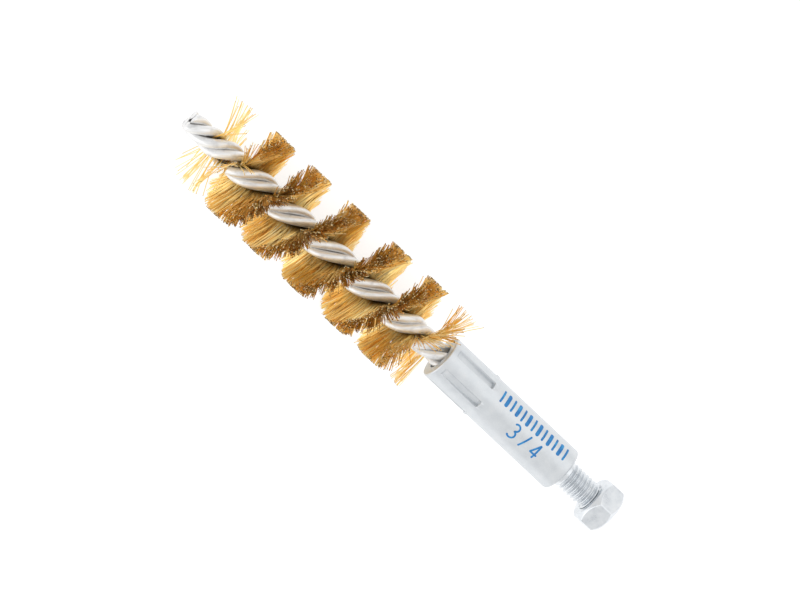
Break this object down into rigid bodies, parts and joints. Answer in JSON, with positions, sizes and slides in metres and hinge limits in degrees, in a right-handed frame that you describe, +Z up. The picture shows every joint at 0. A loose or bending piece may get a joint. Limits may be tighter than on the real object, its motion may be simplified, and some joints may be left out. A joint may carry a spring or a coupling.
{
  "type": "tube cleaning brush",
  "caption": "Twisted-wire tube brush with spiral brass bristles, a crimped metal ferrule and a threaded stud with a hexagon jam nut.",
  "frame": {"origin": "centre of the ferrule's shoulder, the flat end face that the threaded stud stands out of", "axes": "+X along the stem from the bare tip to the threaded stud; +Z up, towards the side with the print"},
  "size_m": [0.1217, 0.0206, 0.0206],
  "materials": {
    "ferrule": "satin light-grey metal, faintly mottled, with small bright burrs at the crimps",
    "print": null,
    "zinc_plate": "bright zinc plating on steel, slightly cool",
    "stem_wire": "galvanised steel wire, semi-bright, with fine drawing lines along the wire",
    "bristles": "fine straight brass filaments, straw to golden brown"
  },
  "bodies": {
    "brush": {"ferrule": "ferrule", "threaded_stud": "zinc_plate", "stem_wire_1": "stem_wire", "stem_wire_2": "stem_wire", "stem_wire_3": "stem_wire", "stem_wire_4": "stem_wire", "bristle_row_01": "bristles", "bristle_row_02": "bristles", "bristle_row_03": "bristles", "bristle_row_04": "bristles", "bristle_row_05": "bristles", "bristle_row_06": "bristles", "bristle_row_07": "bristles", "bristle_row_08": "bristles", "bristle_row_09": "bristles", "bristle_row_10": "bristles", "bristle_row_11": "bristles", "bristle_row_12": "bristles", "bristle_row_13": "bristles"},
    "nut": {"jam_nut": "zinc_plate"}
  },
  "joints": [
    {"name": "nut_travel", "type": "slide", "parent": "brush", "child": "nut", "axis": [1, 0, 0], "range_m": [-0.007, 0.005]}
  ]
}
